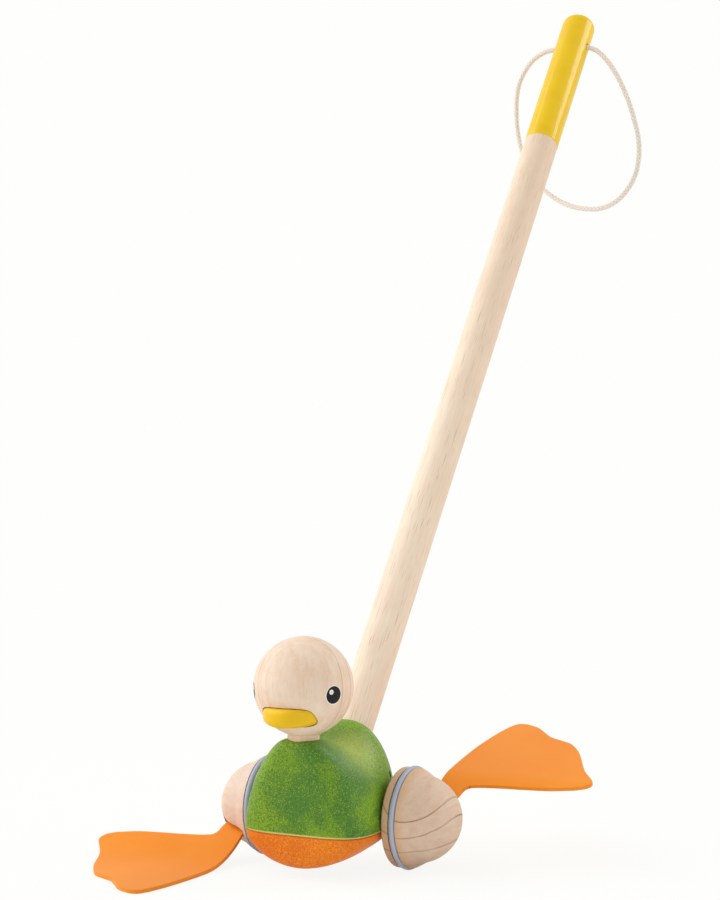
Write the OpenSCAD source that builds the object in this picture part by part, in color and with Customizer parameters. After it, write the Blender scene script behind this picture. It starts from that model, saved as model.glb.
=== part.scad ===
// Duck push toy: a wooden duck on two domed wheels, pushed with a long leaning stick.
// Webbed rubber feet stand in slots of the wheels and flap on the floor as the wheels turn.
// Frame: X along the axle, the duck faces -Y, Z up, origin on the floor under the axle.

/* [Body] */
// Half width of the body at its widest place
body_half_w = 41.3; // [38:0.1:48]
// Length of the body ahead of its widest place
body_front_l = 34; // [28:0.5:42]
// Length of the body behind its widest place
body_back_l = 55; // [48:0.5:66]
// How far the widest place lies ahead of the axle
body_widest_ahead = 25; // [18:0.5:30]
// Height of the breast and back above the seam
body_h = 55.5; // [48:0.5:62]
// Extra height of the hump that holds the stick
hump_h = 5; // [2:0.5:10]
// Length of the hump from its top to its foot
hump_l = 16; // [12:0.5:22]
// Depth of the saddle between the neck and the hump
saddle_d = 4.5; // [0:0.5:8]
// Half width of the level crest under the neck
breast_crest_w = 8.5; // [7:0.5:12]
// Depth of the belly below the seam
belly_h = 20.5; // [17:0.5:24]
// How far the belly's deepest place lies ahead of the axle
belly_deepest_ahead = 50; // [40:0.5:54]
// How far the belly stands in from the body's edge
belly_inset = 0.8; // [0.4:0.1:2]
// How far the seam lies below the axle
seam_drop = 4.5; // [4:0.1:6]
// Diameter of the dowels that join belly and body
joining_dowel_d = 8; // [6:0.5:10]
// Depth of each joining dowel in the body and in the belly
joining_dowel_depth = 9; // [7:0.5:11]
// How far the front joining dowel stands behind the breast
front_dowel_in = 17; // [13:0.5:23]
// How far the rear joining dowel stands ahead of the axle
rear_dowel_ahead = 15; // [12:0.5:22]

/* [Head] */
// Diameter of the head ball
head_d = 59; // [52:0.5:66]
// How far the neck stands ahead of the axle
neck_ahead = 47; // [43:0.5:50]
// Diameter of the neck dowel
neck_d = 19; // [14:0.5:24]
// Height of the neck that shows between body and head
neck_show = 3; // [2:0.1:8]
// Depth of the neck dowel in the body and in the head
neck_depth = 18; // [12:0.5:20]
// Turn of the head towards the duck's left
head_turn = 2.5; // [0:0.5:15]
// Width of the flat beak with its round end
beak_w = 33.6; // [26:0.2:38]
// Thickness of the beak
beak_t = 11; // [8:0.5:12]
// How far the beak stands out of the head
beak_show = 7.7; // [6:0.1:12]
// Height of the beak below the middle of the head
beak_drop = 15.3; // [13:0.1:18]
// Wood left in the head between the beak and the neck dowel
beak_wall = 2.5; // [1.5:0.1:4]

/* [Stick] */
// Diameter of the bare stick
stick_d = 24.4; // [20:0.2:28]
// Length of the stick from its cross pin to its top
stick_l = 651; // [500:1:750]
// Lean of the stick back from upright, in degrees
stick_lean = 38.4; // [32:0.1:44]
// Height of the stick's cross pin above the seam
stick_pin_up = 29.5; // [28:0.5:34]
// Length of the stick below its cross pin
stick_foot_l = 10; // [7:0.5:12]
// Diameter of the cross pin
stick_pin_d = 4; // [3:0.5:6]
// Radius of the rounded edge at the stick's top
stick_top_r = 8; // [4:0.5:11]
// Length of the painted grip
grip_l = 129; // [90:1:180]
// Distance of the cord's hole below the stick's top
cord_hole_down = 28; // [20:0.5:45]
// Diameter of the cord's hole
cord_hole_d = 4.6; // [4.2:0.1:6]
// Diameter of the cotton cord
cord_d = 3.8; // [3:0.1:3.9]

/* [Wheels] */
// Outer radius of the rubber tyre, which the wheel rolls on
tyre_r = 31; // [29.5:0.1:36]
// Section diameter of the rubber tyre
tyre_d = 3.6; // [2.8:0.1:4.2]
// Radius of the wooden wheel beside the tyre
wheel_r = 30; // [29:0.1:30.4]
// Distance of the tyre's plane from the wheel's inner face
tyre_in = 7; // [6:0.1:9]
// Distance of the shoulder's foot from the wheel's inner face
shoulder_in = 18.2; // [17:0.1:20]
// Radius of the dome at the shoulder's foot
dome_r = 25.4; // [23:0.1:27]
// Length of the dome from the shoulder's foot to its tip
dome_l = 19.2; // [15:0.1:24]
// Diameter of the steel axle
axle_d = 5; // [4:0.1:6]
// Depth of the axle in each wheel
axle_grip = 18; // [12:0.5:22]
// Wall of the axle bush
bush_wall = 1.2; // [1:0.1:1.6]
// Length of the axle bush inside the body
bush_l = 16; // [10:0.5:22]
// Diameter of the bush's flange
flange_d = 14; // [11:0.5:18]

/* [Feet] */
// Length of a foot from its bending line to its longest toe
foot_l = 112; // [95:1:125]
// Reach of a foot's outer toe from the middle of its bending line
foot_w = 85; // [70:1:95]
// Thickness of the rubber feet
foot_t = 2.2; // [1.6:0.1:3]
// Width of a foot where it leaves its slot
foot_root_w = 17; // [14:0.5:20]
// Depth of a foot in its slot
foot_root_depth = 13; // [9:0.5:15]
// Angle of the left wheel's slot above level, behind the axle
left_phase = 30.5; // [24:0.5:36]
// Angle of the right wheel's slot below level, ahead of the axle
right_phase = 33; // [26:0.5:36]
// Distance of a foot's bending line from the shoulder's foot, along the axle
foot_bend_out = 2.5; // [1.5:0.1:4.5]
// Slope of a foot's bending line to the axle, in degrees
foot_splay = 22; // [18:0.5:28]
// Droop of the raised foot behind the duck, in degrees
rear_droop = 20; // [0:1:30]
// Bending radius of the raised foot
rear_bend_r = 50; // [40:1:90]
// Height of the front foot's underside above the floor
floor_gap = 0.4; // [0.2:0.1:1]

/* [Clearances] */
// Gap all round a glued or pressed joint
glue_gap = 0.02; // [0.01:0.01:0.05]
// Radial clearance of the axle in its bushes
running_gap = 0.06; // [0.02:0.01:0.1]
// Side play between a bush's flange and the wheel
side_play = 0.5; // [0.3:0.1:1]
// Gap between a foot and the sides of its slot
slot_gap = 0.2; // [0.1:0.05:0.4]
// Length of the slot past each side of the foot
slot_spare = 1; // [0.5:0.1:1.2]
// Gap between the body's widest place and the wheels
wheel_clear = 0.45; // [0.3:0.05:1.5]
// Gap beside the beak in its slot
beak_gap = 0.3; // [0.1:0.05:0.6]
// Rise of a foot's bending line above the dome
bend_rise = 1.6; // [1.5:0.1:2.5]

/* [Hidden] */
$fn = 64;
wood = [0.86, 0.73, 0.61];
green = [0.36, 0.58, 0.16];
orange = [0.88, 0.42, 0.10];
rubber_orange = [0.97, 0.57, 0.18];
yellow = [0.95, 0.78, 0.10];
ring_grey = [0.56, 0.59, 0.66];
cotton = [0.93, 0.91, 0.86];
steel = [0.75, 0.76, 0.78];
nylon = [0.94, 0.94, 0.92];

// Heights
axle_z = tyre_r;
seam_z = axle_z - seam_drop;

// Body form
widest_y = -body_widest_ahead;
breast_y = widest_y - body_front_l;
tail_y = widest_y + body_back_l;
deepest_y = -belly_deepest_ahead;
hump_y = 3;
saddle_y = -24;
saddle_l = 10;
back_crest_w = 1;
crest_share = 0.7;
breast_start = 0.62;
rings_body = 30;
rings_round = 28;
side_power = 4;
tail_power = 2.2;
back_top_power = 5;
breast_top_power = 24;
back_section = 2.2;
breast_section = 1.65;
belly_power = 1.9;
belly_breast_power = 3.5;
belly_tail_power = 1.4;
end_trim = 0.002;
function rounding(t, p) = pow(max(0, 1 - pow(min(1, t), p)), 1 / p);
function reach(y) = y < widest_y ? (widest_y - y) / body_front_l : (y - widest_y) / body_back_l;
function body_w(y) = body_half_w * rounding(reach(y), y < widest_y ? side_power : tail_power);
function bell(y, middle, l) = exp(-pow((y - middle) / l, 2));
function body_top(y) = rounding(reach(y), y < widest_y ? breast_top_power : back_top_power)
    * (body_h + hump_h * bell(y, hump_y, hump_l) - saddle_d * bell(y, saddle_y, saddle_l));
function ease(t) = t * t * (3 - 2 * t);
// Rises from 0 at the widest place to 1 under the neck
function breast(y) = ease(min(1, max(0, (widest_y - y) / body_front_l / breast_start)));
function crest_w(y) = min(crest_share * body_w(y),
    back_crest_w + (breast_crest_w - back_crest_w) * breast(y));
function section_power(y) = back_section + (breast_section - back_section) * breast(y);
// Half width of the body at a height above the seam
function section_x(y, up) = crest_w(y)
    + (body_w(y) - crest_w(y)) * rounding(up / body_top(y), section_power(y));
function belly_w(y) = max(0.01, body_w(y) - belly_inset);
function belly_reach(y) = y < deepest_y ? (deepest_y - y) / (deepest_y - breast_y)
    : (y - deepest_y) / (tail_y - deepest_y);
function belly_deep(y) = belly_h
    * rounding(belly_reach(y), y < deepest_y ? belly_breast_power : belly_tail_power);
// Station from the breast to the tail, closer together towards both ends
function station(i, n) = widest_y + (body_back_l - body_front_l) / 2
    - (body_back_l + body_front_l) / 2 * (1 - end_trim) * cos(180 * i / n);

// Neck and head
neck_y = -neck_ahead;
neck_foot_z = seam_z + body_top(neck_y);
head_r = head_d / 2;
head_z = neck_foot_z + neck_show + sqrt(pow(head_r, 2) - pow(neck_d / 2, 2));
beak_r = beak_w / 2;
beak_front = sqrt(pow(head_r, 2) - pow(beak_drop, 2)) + beak_show;
beak_straight = beak_front - beak_r - neck_d / 2 - beak_wall;

// Stick, measured along its own axis from the cross pin
stick_y = -0.5;
stick_z = seam_z + stick_pin_up;
stick_r = stick_d / 2;
paint_t = 0.15;
grip_from = stick_l - grip_l;
pin_recess = 4;
pin_l = 2 * (section_x(stick_y, stick_pin_up) - pin_recess);

// Axle, bushes and wheels
bush_r = axle_d / 2 + bush_wall;
flat_depth = 0.5;
flange_x = section_x(0, seam_drop) - flat_depth;
wheel_x = body_half_w + wheel_clear;
flange_t = wheel_x - side_play - flange_x;
tyre_x = wheel_x + tyre_in;
shoulder_x = wheel_x + shoulder_in;
ring_r = tyre_d / 2;
ring_mid_r = tyre_r - ring_r;
groove_r = ring_r + glue_gap;
edge_r = 1.5;
edge_n = 4;
bead_w = 0.5;
bead_x = tyre_x + ring_r + bead_w;
curve_n = 12;
// The dome is an ellipse about a middle that lies behind the shoulder's foot
dome_back = 8;
dome_reach = dome_back + dome_l;
dome_from = asin(dome_back / dome_reach);
dome_mid_r = dome_r / cos(dome_from);
shoulder_round = 0.3;

// Joining dowels
dowel_ys = [breast_y + front_dowel_in, -rear_dowel_ahead];

// Feet, in the plane that holds the axle: [distance along the axle, distance from the axle]
bend_u = shoulder_x + foot_bend_out;
bend_v = dome_mid_r * sqrt(1 - pow((dome_back + foot_bend_out) / dome_reach, 2)) + bend_rise;
bend_along = [-cos(foot_splay), sin(foot_splay)];
bend_out = [sin(foot_splay), cos(foot_splay)];
root_gap = 0.6;
root_thin = 0.8;
root_flat = 2;
flat_to = bend_v + foot_root_w / 2 * sin(foot_splay) + root_flat;
front_bend_r = (axle_z - flat_to * sin(right_phase) - foot_t / 2 - floor_gap) / (1 - cos(right_phase));
// Points of a foot drawn 85 wide and 112 long, taken to the foot's own size
function foot_size(points) = [for (p = points) [p[0] * foot_w / 85, p[1] * foot_l / 112]];
// Outline of the flat foot from the middle of its bending line, with three webbed toes
inner_side = concat([foot_root_w / 2 * bend_along],
    foot_size([[-8.3, 24], [-8.5, 44], [-8, 65], [-5.5, 89], [-2.5, 104]]));
toe_edge = foot_size([[-2.5, 104], [0.5, 110.5], [5, 112], [10, 110.5], [17, 106.5], [25, 98], [32, 91],
    [41, 86.5], [48, 82.5], [54, 75.5], [59, 68], [64, 58.5], [68.5, 49], [74, 38],
    [80.5, 28.5], [85, 21.5], [83.5, 16], [77, 12.5]]);
outer_side = concat([-foot_root_w / 2 * bend_along],
    foot_size([[10, 4.2], [17, 6.6], [31, 7.8], [46, 8.5], [62, 9.6], [77, 12.5]]));
foot_rows = 16;
foot_cols = 34;

// Wrist cord: route of its middle as [x, z] from the hole's middle
cord_route = [[4, 0], [9, 0], [14, -1], [19, -3], [24, -7], [30, -14], [36, -23], [41, -33], [46, -45],
    [50, -58], [53, -71], [53.5, -84], [51, -97], [45, -108], [36, -117], [24, -122], [11, -122],
    [-2, -119], [-14, -113], [-24, -105], [-32, -95], [-38, -84], [-42, -73], [-44.5, -61],
    [-45.5, -50], [-45.5, -37], [-43, -24], [-37, -13], [-30, -6], [-22, -2], [-14, -0.5], [-9, 0],
    [-4, 0]];
cord_sides = 8;

// Closed solid through equal rings of points
module loft(rings) {
    n = len(rings[0]);
    m = len(rings);
    points = [for (ring = rings) each ring];
    sides = [for (i = [0:m - 2]) for (j = [0:n - 1])
        let (a = i * n + j, b = i * n + (j + 1) % n)
        each [[a, b, b + n], [a, b + n, a + n]]];
    first = [for (j = [0:n - 1]) n - 1 - j];
    last = [for (j = [0:n - 1]) (m - 1) * n + j];
    polyhedron(points, concat([first], sides, [last]));
}

// Section of the body above the seam: two rounded flanks and a level crest between them
function body_ring(y) =
    let (c = crest_w(y), w = body_w(y), h = body_top(y), p = 2 / section_power(y), n = rings_round / 2,
        flank = [for (j = [0:n])
            let (a = 90 * j / n)
            [c + (w - c) * pow(cos(a), p), seam_z + h * pow(sin(a), p)]])
    concat([for (f = flank) [f[0], y, f[1]]], [for (j = [n:-1:0]) [-flank[j][0], y, flank[j][1]]]);

// Rounded section of the belly below the seam
function belly_ring(y) = [for (j = [0:rings_round])
    let (a = 180 * j / rings_round, p = 2 / belly_power, side = sign(cos(a)) * pow(abs(cos(a)), p))
    [-belly_w(y) * side, y, seam_z - belly_deep(y) * pow(sin(a), p)]];

// Places something on the stick's axis, with Z up the stick from the cross pin
module on_stick() {
    translate([0, stick_y, stick_z]) rotate([-stick_lean, 0, 0]) children();
}

// Round bar along X, centred
module cross_bar(r, l) {
    rotate([0, 90, 0]) cylinder(r = r, h = l, center = true);
}

// Room for the axle, its bushes and their flanges
module axle_room() {
    translate([0, 0, axle_z]) {
        cross_bar(axle_d / 2 + bush_wall / 2, 4 * body_half_w);
        for (side = [-1, 1]) {
            translate([side * (flange_x - bush_l / 2), 0, 0])
                cross_bar(bush_r + glue_gap, bush_l + 2 * glue_gap);
            translate([side * (flange_x + body_half_w / 2), 0, 0])
                cross_bar(flange_d / 2 + side_play, body_half_w);
        }
    }
}

module joining_dowel(y, gap = 0) {
    translate([0, y, seam_z])
        cylinder(d = joining_dowel_d + 2 * gap, h = 2 * joining_dowel_depth + 2 * gap, center = true);
}

module body_shell() {
    color(green) difference() {
        loft([for (i = [0:rings_body]) body_ring(station(i, rings_body))]);
        on_stick() translate([0, 0, -stick_foot_l - glue_gap])
            cylinder(r = stick_r + glue_gap, h = stick_foot_l + 2 * body_h);
        translate([0, stick_y, stick_z]) cross_bar(stick_pin_d / 2 + glue_gap, 4 * body_half_w);
        translate([0, neck_y, neck_foot_z - neck_depth - glue_gap])
            cylinder(d = neck_d + 2 * glue_gap, h = neck_depth + body_h);
        axle_room();
        for (y = dowel_ys) joining_dowel(y, glue_gap);
    }
}

module belly() {
    color(orange) difference() {
        loft([for (i = [0:rings_body]) belly_ring(station(i, rings_body))]);
        axle_room();
        for (y = dowel_ys) joining_dowel(y, glue_gap);
    }
}

module belly_dowel_front() {
    color(wood) joining_dowel(dowel_ys[0]);
}

module belly_dowel_rear() {
    color(wood) joining_dowel(dowel_ys[1]);
}

module neck_dowel() {
    color(wood) translate([0, neck_y, neck_foot_z - neck_depth])
        cylinder(d = neck_d, h = 2 * neck_depth + neck_show);
}

module on_head() {
    translate([0, neck_y, head_z]) rotate([0, 0, head_turn]) children();
}

// Places something at the middle of the beak's round end
module on_beak() {
    on_head() translate([0, beak_r - beak_front, -beak_drop]) children();
}

module head() {
    neck_top_z = neck_foot_z + neck_depth + neck_show;
    color(wood) difference() {
        on_head() sphere(r = head_r);
        translate([0, neck_y, head_z - head_d])
            cylinder(d = neck_d + 2 * glue_gap, h = neck_top_z + glue_gap - head_z + head_d);
        on_beak() translate([0, 0, beak_gap - glue_gap]) tongue(beak_gap, glue_gap);
    }
}

// Half section of the beak with its fully rounded edge, grown by a gap
module beak_section(gap) {
    edge_at = beak_r - beak_t / 2;
    h = beak_t + 2 * gap;
    translate([0, -h / 2]) square([edge_at, h]);
    translate([edge_at, 0]) difference() {
        circle(d = h);
        translate([-h, -h]) square([h, 2 * h]);
    }
}

// Flat tongue with a round end, rounded edges and a straight back, grown by a gap round it and at its back
module tongue(gap, back_gap) {
    l = beak_straight + back_gap;
    rotate([0, 0, 180]) rotate_extrude(angle = 180) beak_section(gap);
    translate([0, l, 0]) rotate([90, 0, 0]) linear_extrude(l) {
        beak_section(gap);
        mirror([1, 0]) beak_section(gap);
    }
}

module beak() {
    color(yellow) on_beak() tongue(0, 0);
}

// Stick with its rounded top, in its own axis
module stick_bar() {
    grip_r = stick_r + paint_t;
    arc = [for (i = [0:curve_n])
        let (a = 90 * i / curve_n)
        [grip_r - stick_top_r + stick_top_r * cos(a), stick_l - stick_top_r + stick_top_r * sin(a)]];
    shaft = [[0, -stick_foot_l], [stick_r, -stick_foot_l], [stick_r, grip_from], [grip_r, grip_from]];
    rotate_extrude() polygon(concat(shaft, arc, [[0, stick_l]]));
}

module stick() {
    color(wood) difference() {
        on_stick() stick_bar();
        translate([0, stick_y, stick_z]) cross_bar(stick_pin_d / 2 + glue_gap, 2 * stick_d);
        on_stick() translate([0, 0, stick_l - cord_hole_down]) cross_bar(cord_hole_d / 2, 2 * stick_d);
    }
}

module stick_pin() {
    color(wood) translate([0, stick_y, stick_z]) cross_bar(stick_pin_d / 2, pin_l);
}

// Flanged bush, made for the left side
module axle_bush() {
    color(nylon) translate([0, 0, axle_z]) rotate([0, 90, 0]) difference() {
        union() {
            translate([0, 0, flange_x - bush_l]) cylinder(r = bush_r, h = bush_l);
            translate([0, 0, flange_x]) cylinder(d = flange_d, h = flange_t);
        }
        translate([0, 0, flange_x - 2 * bush_l]) cylinder(d = axle_d + 2 * running_gap, h = 4 * bush_l);
    }
}

module axle_bush_left() {
    axle_bush();
}

module axle_bush_right() {
    mirror([1, 0, 0]) axle_bush();
}

module axle() {
    color(steel) translate([0, 0, axle_z]) cross_bar(axle_d / 2, 2 * (wheel_x + axle_grip));
}

// Half section of a wheel, as [radius, distance along the axle]
module wheel_section() {
    edge = [for (i = [0:edge_n])
        let (a = 90 * i / edge_n)
        [wheel_r - edge_r + edge_r * sin(a), wheel_x + edge_r - edge_r * cos(a)]];
    shoulder = [for (i = [1:curve_n])
        let (t = i / curve_n, s = shoulder_round * (1 - cos(180 * t)) / 2 + (1 - shoulder_round) * t)
        [wheel_r + (dome_r - wheel_r) * s, bead_x + (shoulder_x - bead_x) * t]];
    dome = [for (i = [1:2 * curve_n])
        let (a = dome_from + (90 - dome_from) * i / (2 * curve_n))
        [dome_mid_r * cos(a), shoulder_x - dome_back + dome_reach * sin(a)]];
    polygon(concat([[0, wheel_x]], edge, [[wheel_r, bead_x]], shoulder, dome));
}

// Places something on the left wheel: X out along the axle, Y along its foot
module on_left() {
    translate([0, 0, axle_z]) rotate([left_phase, 0, 0]) children();
}

// Places something on the right wheel: X out along the axle, Y along its foot
module on_right() {
    translate([0, 0, axle_z]) rotate([right_phase, 0, 0]) rotate([0, 0, 180]) children();
}

// Places something at the middle of the bending line: X along it, Y out of the slot
module at_bend() {
    translate([bend_u, bend_v, 0]) rotate([0, 0, -foot_splay]) children();
}

// Wheel with its tyre groove, axle hole and foot slot
module wheel() {
    slot_l = foot_root_w + 2 * slot_spare;
    color(wood) difference() {
        rotate([0, 90, 0]) rotate_extrude() wheel_section();
        translate([tyre_x, 0, 0]) rotate([0, 90, 0])
            rotate_extrude() translate([ring_mid_r, 0]) circle(r = groove_r);
        rotate([0, 90, 0]) cylinder(d = axle_d + 2 * glue_gap, h = wheel_x + axle_grip + glue_gap);
        at_bend() translate([-slot_l / 2, -foot_root_depth - glue_gap, -foot_t / 2 - slot_gap])
            cube([slot_l, foot_root_depth + dome_r, foot_t + 2 * slot_gap]);
    }
}

module wheel_left() {
    on_left() wheel();
}

module wheel_right() {
    on_right() wheel();
}

module tyre() {
    color(ring_grey) translate([tyre_x, 0, 0]) rotate([0, 90, 0])
        rotate_extrude() translate([ring_mid_r, 0]) circle(r = ring_r);
}

module tyre_left() {
    on_left() tyre();
}

module tyre_right() {
    on_right() tyre();
}

// The part of a foot that is glued in its slot
module foot_root() {
    color(rubber_orange) at_bend() translate([-foot_root_w / 2, -foot_root_depth, -foot_t / 2])
        cube([foot_root_w, foot_root_depth - root_gap, foot_t]);
}

module foot_root_left() {
    on_left() foot_root();
}

module foot_root_right() {
    on_right() foot_root();
}

// Point on a smooth curve through points, with t from 0 to 1
function along(points, t) =
    let (n = len(points) - 1, f = min(t * n, n - 0.000001), i = floor(f), s = f - i,
        b = points[i], c = points[i + 1],
        a = i > 0 ? points[i - 1] : 2 * b - c,
        d = i < n - 1 ? points[i + 2] : 2 * c - b)
    0.5 * (2 * b + (c - a) * s + (2 * a - 5 * b + 4 * c - d) * pow(s, 2)
        + (3 * b - a - 3 * c + d) * pow(s, 3));

// Point of the flat foot: v across from the inner to the outer side, w from the root to the toes
function foot_flat(v, w) =
    let (p = along(inner_side, w), q = along(outer_side, w), r = along(toe_edge, v),
        p0 = inner_side[0], q0 = outer_side[0], p1 = toe_edge[0], q1 = toe_edge[len(toe_edge) - 1])
    (1 - v) * p + v * q + (1 - w) * ((1 - v) * p0 + v * q0) + w * r
        - (1 - w) * ((1 - v) * p0 + v * q0) - w * ((1 - v) * p1 + v * q1);

// Point of the bent foot at a height above its middle, in the foot's plane, with way 1 up or -1 down
function foot_bent(flat, up, bend_r, bend, way) =
    let (u = bend_u + flat[0], v = bend_v + flat[1], t = max(0, v - flat_to),
        a = min(bend, t / bend_r * 180 / PI), rest = t - bend_r * a * PI / 180,
        out = min(v, flat_to) + bend_r * sin(a) + rest * cos(a),
        rise = bend_r * (1 - cos(a)) + rest * sin(a))
    [u, out - way * up * sin(a), way * rise + up * cos(a)];

// Half the thickness of a foot, thinner where it meets its root
function foot_half(flat) = min(foot_t, root_thin + flat * bend_out) / 2;

// Webbed blade of a foot, from its bending line to its toes
module foot(bend_r, bend, way) {
    grid = [for (i = [0:foot_rows]) for (j = [0:foot_cols]) foot_flat(j / foot_cols, i / foot_rows)];
    n = foot_cols + 1;
    m = foot_rows + 1;
    size = n * m;
    points = concat([for (p = grid) foot_bent(p, foot_half(p), bend_r, bend, way)],
        [for (p = grid) foot_bent(p, -foot_half(p), bend_r, bend, way)]);
    cells = [for (i = [0:m - 2]) for (j = [0:n - 2]) i * n + j];
    upper = [for (k = cells) each [[k, k + 1, k + n + 1], [k, k + n + 1, k + n]]];
    lower = [for (f = upper) [f[2] + size, f[1] + size, f[0] + size]];
    rim = concat([for (j = [0:n - 2]) j], [for (i = [0:m - 2]) i * n + n - 1],
        [for (j = [n - 1:-1:1]) (m - 1) * n + j], [for (i = [m - 1:-1:1]) i * n]);
    edge = [for (k = [0:len(rim) - 1])
        let (a = rim[k], b = rim[(k + 1) % len(rim)])
        each [[b, a, a + size], [b, a + size, b + size]]];
    color(rubber_orange) polyhedron(points, concat(upper, lower, edge));
}

module foot_left() {
    on_left() foot(rear_bend_r, rear_droop, -1);
}

module foot_right() {
    on_right() foot(front_bend_r, right_phase, 1);
}

// Round tube along the cord's route
module wrist_cord() {
    n = len(cord_route);
    rings = [for (i = [0:n - 1])
        let (p = cord_route[i], d = cord_route[min(n - 1, i + 1)] - cord_route[max(0, i - 1)],
            side = [-d[1], d[0]] / norm(d))
        [for (j = [0:cord_sides - 1])
            let (a = 360 * j / cord_sides, r = cord_d / 2)
            [p[0] + r * cos(a) * side[0], r * sin(a), p[1] + r * cos(a) * side[1]]]];
    hole_up = stick_l - cord_hole_down;
    color(cotton)
        translate([0, stick_y + hole_up * sin(stick_lean), stick_z + hole_up * cos(stick_lean)]) loft(rings);
}

body_shell();
belly();
belly_dowel_front();
belly_dowel_rear();
head();
neck_dowel();
beak();
stick();
stick_pin();
axle_bush_left();
axle_bush_right();
wrist_cord();
axle();
wheel_left();
wheel_right();
tyre_left();
tyre_right();
foot_root_left();
foot_root_right();
foot_left();
foot_right();
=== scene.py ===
"""Duck push toy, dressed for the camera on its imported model.

A wooden duck on two domed wheels with webbed rubber feet, pushed with a long leaning stick.
Lengths are in metres: X runs along the axle, the duck faces -Y, and the floor is z = 0.
"""
import logging
import math
from dataclasses import dataclass
from enum import Enum

import bpy
import numpy as np
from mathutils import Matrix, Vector


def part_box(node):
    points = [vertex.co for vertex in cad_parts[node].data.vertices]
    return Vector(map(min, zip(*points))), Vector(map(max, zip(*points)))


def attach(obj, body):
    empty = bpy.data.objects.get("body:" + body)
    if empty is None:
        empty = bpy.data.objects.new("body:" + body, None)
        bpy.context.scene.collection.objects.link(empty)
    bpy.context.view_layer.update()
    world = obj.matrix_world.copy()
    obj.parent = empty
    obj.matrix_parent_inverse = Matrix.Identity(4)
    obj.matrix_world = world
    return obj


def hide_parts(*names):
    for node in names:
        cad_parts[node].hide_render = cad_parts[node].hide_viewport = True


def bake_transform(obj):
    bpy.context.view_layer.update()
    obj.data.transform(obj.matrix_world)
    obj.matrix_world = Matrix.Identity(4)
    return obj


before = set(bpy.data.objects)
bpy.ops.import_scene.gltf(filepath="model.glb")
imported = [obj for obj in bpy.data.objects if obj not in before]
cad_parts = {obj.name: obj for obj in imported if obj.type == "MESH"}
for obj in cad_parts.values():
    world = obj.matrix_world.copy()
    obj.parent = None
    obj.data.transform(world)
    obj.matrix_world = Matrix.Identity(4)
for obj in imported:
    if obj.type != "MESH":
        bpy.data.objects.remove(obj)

log = logging.getLogger("duck_push_toy")

MM = 0.001
SHARP_EDGE = math.radians(35)
# Least radius or width of a ring, so that none shrinks to one point
LEAST = 1e-6
Array = np.ndarray
Point = tuple[float, float, float]
Colour = tuple[float, float, float]


class Side(Enum):
    """The duck's own left and right, as the sign of X."""

    LEFT = 1
    RIGHT = -1

    @property
    def word(self) -> str:
        """Gives the side's name as the nodes spell it."""
        return self.name.lower()


def tone(red: int, green: int, blue: int) -> Colour:
    """Turns a display colour of 0 to 255 into the linear values that shaders take.

    Args:
        red, green, blue: Channels as a screen shows them.

    Returns:
        Linear red, green and blue.
    """
    c = np.array([red, green, blue]) / 255
    linear = np.where(c <= 0.04045, c / 12.92, ((c + 0.055) / 1.055) ** 2.4)
    return tuple(float(x) for x in linear)


class Socket:
    """A shader socket: operators on it add Math nodes to its graph."""

    def __init__(self, graph: "Graph", socket: bpy.types.NodeSocket) -> None:
        """Wraps one output socket of the graph."""
        self.graph = graph
        self.socket = socket

    def _math(self, operation: str, *terms: "Socket | float") -> "Socket":
        """Adds one Math node on the given terms."""
        return self.graph.node("Math", {"operation": operation}, dict(enumerate(terms)))

    def __add__(self, other: "Socket | float") -> "Socket":
        """Adds two values."""
        return self._math("ADD", self, other)

    __radd__ = __add__

    def __sub__(self, other: "Socket | float") -> "Socket":
        """Takes a value off this one."""
        return self._math("SUBTRACT", self, other)

    def __rsub__(self, other: float) -> "Socket":
        """Takes this value off a number."""
        return self._math("SUBTRACT", other, self)

    def __mul__(self, other: "Socket | float") -> "Socket":
        """Multiplies two values."""
        return self._math("MULTIPLY", self, other)

    __rmul__ = __mul__

    def __truediv__(self, other: "Socket | float") -> "Socket":
        """Divides this value."""
        return self._math("DIVIDE", self, other)

    def part(self) -> "Socket":
        """Gives the part after the point, which repeats from 0 to 1."""
        return self._math("FRACT", self)

    def away(self) -> "Socket":
        """Gives the distance from zero."""
        return self._math("ABSOLUTE", self)

    def whole(self) -> "Socket":
        """Gives the part before the point."""
        return self._math("FLOOR", self)

    def wave(self) -> "Socket":
        """Gives the sine."""
        return self._math("SINE", self)

    def over(self, other: "Socket") -> "Socket":
        """Gives the higher of two values."""
        return self._math("MAXIMUM", self, other)

    def step(self, low: float, high: float) -> "Socket":
        """Rises smoothly from 0 at low to 1 at high."""
        settings = {"interpolation_type": "SMOOTHSTEP"}
        return self.graph.node("MapRange", settings, {"Value": self, "From Min": low, "From Max": high})


class Owner(Enum):
    """What a node tree belongs to, as the name of the shader that it starts with."""

    MATERIAL = "Principled BSDF"
    WORLD = "Background"


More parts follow.
